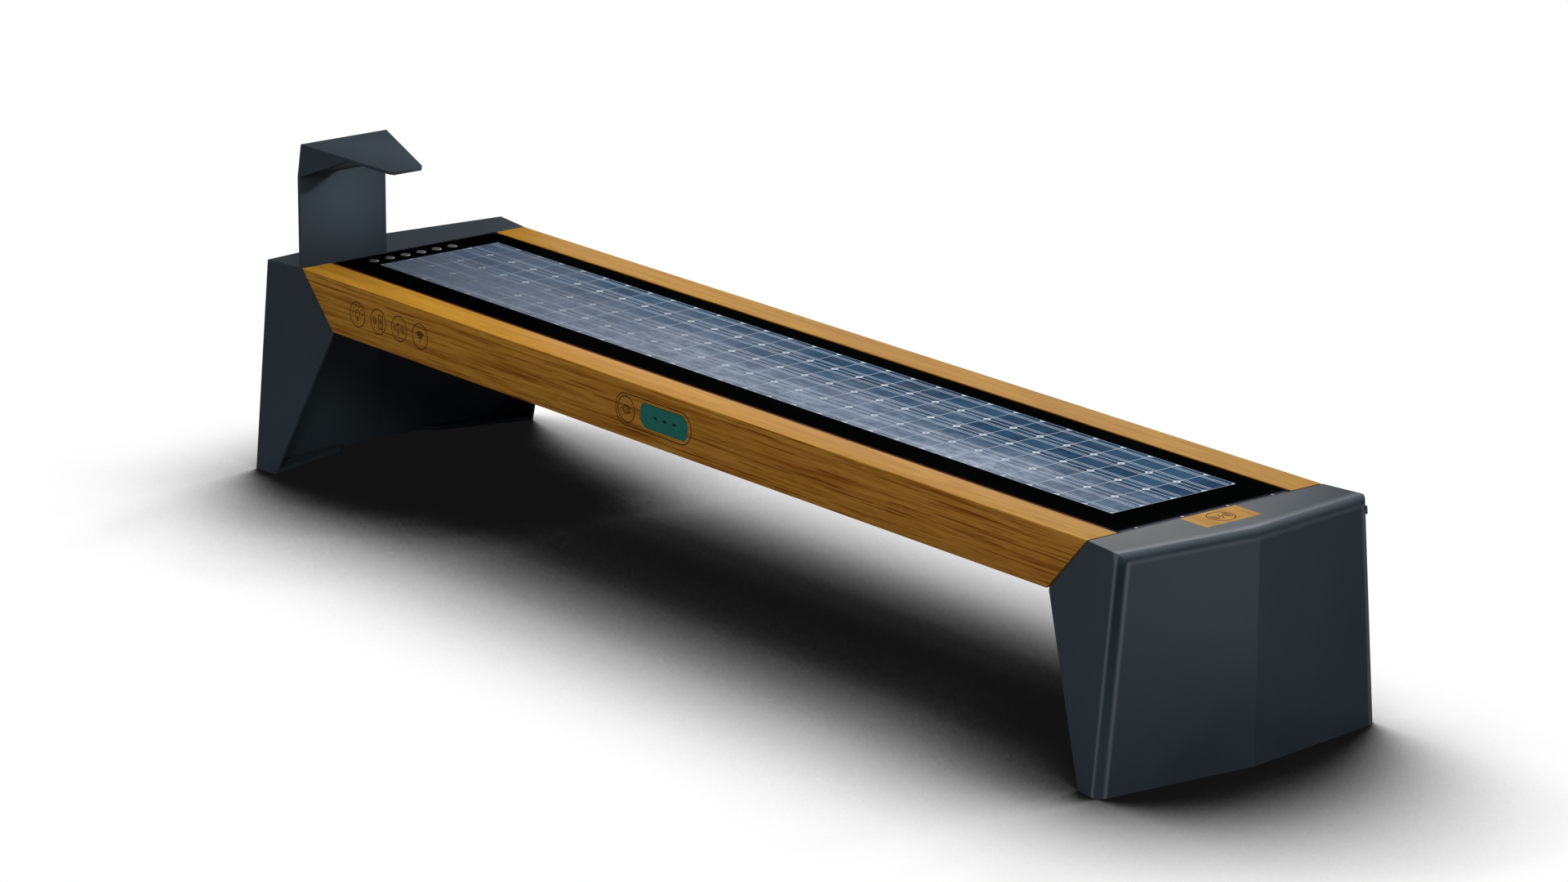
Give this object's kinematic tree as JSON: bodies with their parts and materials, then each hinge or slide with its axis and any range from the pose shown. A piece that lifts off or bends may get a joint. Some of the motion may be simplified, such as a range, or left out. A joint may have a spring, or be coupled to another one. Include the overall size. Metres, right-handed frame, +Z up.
{
  "type": "solar charging bench",
  "caption": "Backless street bench on two folded steel legs, with timber side rails, a black solar glass seat, push buttons, USB sockets, a wireless charging inlay and a small lamp post.",
  "frame": {"origin": "centre of the bench's box, on the floor", "axes": "+X along the bench away from the lamp post, -Y towards the USB side, +Z up"},
  "size_m": [2.752, 0.6936, 0.717],
  "materials": {
    "leg_coat": "fine-textured anthracite powder coat",
    "galvanised": "hot-dip galvanised, matt grey",
    "fastener_zinc": "zinc plated",
    "oiled_timber": "oiled golden-brown hardwood, fine lengthwise grain",
    "black_glass": "toughened glass with a black printed back",
    "cell_blue": "blue-grey silicon with silver ribbons, under glass",
    "module_alu": "mill finish",
    "seal_brown": "dark brown elastomer",
    "strip_dark": "dark anodised",
    "button_steel": "brushed stainless steel",
    "usb_teal": "teal, satin",
    "contact_metal": "nickel plated",
    "board_green": "solder resist",
    "housing_black": "moulded, matt",
    "battery_grey": "moulded, matt",
    "heatsink_alu": "dark anodised, finned",
    "cable_rubber": "matt black",
    "lamp_opal": "opal diffuser"
  },
  "bodies": {
    "bench": {"left_leg": "leg_coat", "right_leg": "leg_coat", "left_base_plates": "leg_coat", "right_base_plates": "leg_coat", "lamp_post": "leg_coat", "lamp_hood": "leg_coat", "left_bulkhead": "leg_coat", "right_bulkhead": "leg_coat", "front_beam": "galvanised", "back_beam": "galvanised", "cross_tubes": "galvanised", "beam_end_plates": "galvanised", "belly_tray": "galvanised", "bulkhead_bolts": "fastener_zinc", "rail_screws": "fastener_zinc", "tray_screws": "fastener_zinc", "hatch_pin": "fastener_zinc", "battery_straps": "fastener_zinc", "post_bolts": "fastener_zinc", "front_rail_top": "oiled_timber", "front_rail_bottom": "oiled_timber", "front_rail_left": "oiled_timber", "front_rail_right": "oiled_timber", "back_rail": "oiled_timber", "charging_inlay": "oiled_timber", "solar_glass": "black_glass", "solar_cells": "cell_blue", "glass_frame": "module_alu", "module_back": "module_alu", "glass_seal": "seal_brown", "end_strip": "strip_dark", "strip_screws": "button_steel", "button_bezels": "button_steel", "usb_screws": "button_steel", "usb_plate": "usb_teal", "usb_sockets": "contact_metal", "usb_board": "board_green", "led_board": "board_green", "usb_housing": "housing_black", "button_switches": "housing_black", "charging_module": "housing_black", "network_router": "housing_black", "loudspeakers": "housing_black", "loom_clips": "housing_black", "battery_pack": "battery_grey", "charge_controller": "heatsink_alu", "wiring_loom": "cable_rubber", "side_plug": "cable_rubber", "lamp_lens": "lamp_opal"},
    "hatch": {"service_hatch": "galvanised", "lock_housings": "fastener_zinc"},
    "left_lock": {"left_lock": "fastener_zinc"},
    "right_lock": {"right_lock": "fastener_zinc"},
    "button_1": {"button_1": "button_steel"},
    "button_2": {"button_2": "button_steel"},
    "button_3": {"button_3": "button_steel"},
    "button_4": {"button_4": "button_steel"},
    "button_5": {"button_5": "button_steel"},
    "button_6": {"button_6": "button_steel"}
  },
  "joints": [
    {"name": "hatch_hinge", "type": "hinge", "parent": "bench", "child": "hatch", "pos_m": [0, 0.144, 0.3391], "axis": [1, 0, 0], "range_deg": [0, 95]},
    {"name": "left_lock_turn", "type": "hinge", "parent": "hatch", "child": "left_lock", "pos_m": [-0.165, -0.113, 0.3417], "axis": [0, 0, -1], "range_deg": [0, 90]},
    {"name": "right_lock_turn", "type": "hinge", "parent": "hatch", "child": "right_lock", "pos_m": [0.165, -0.113, 0.3417], "axis": [0, 0, -1], "range_deg": [0, 90]},
    {"name": "button_1_press", "type": "slide", "parent": "bench", "child": "button_1", "axis": [0, 0, -1], "range_m": [0, 0.0015], "stiffness_N_per_m": 1500},
    {"name": "button_2_press", "type": "slide", "parent": "bench", "child": "button_2", "axis": [0, 0, -1], "range_m": [0, 0.0015], "stiffness_N_per_m": 1500},
    {"name": "button_3_press", "type": "slide", "parent": "bench", "child": "button_3", "axis": [0, 0, -1], "range_m": [0, 0.0015], "stiffness_N_per_m": 1500},
    {"name": "button_4_press", "type": "slide", "parent": "bench", "child": "button_4", "axis": [0, 0, -1], "range_m": [0, 0.0015], "stiffness_N_per_m": 1500},
    {"name": "button_5_press", "type": "slide", "parent": "bench", "child": "button_5", "axis": [0, 0, -1], "range_m": [0, 0.0015], "stiffness_N_per_m": 1500},
    {"name": "button_6_press", "type": "slide", "parent": "bench", "child": "button_6", "axis": [0, 0, -1], "range_m": [0, 0.0015], "stiffness_N_per_m": 1500}
  ]
}
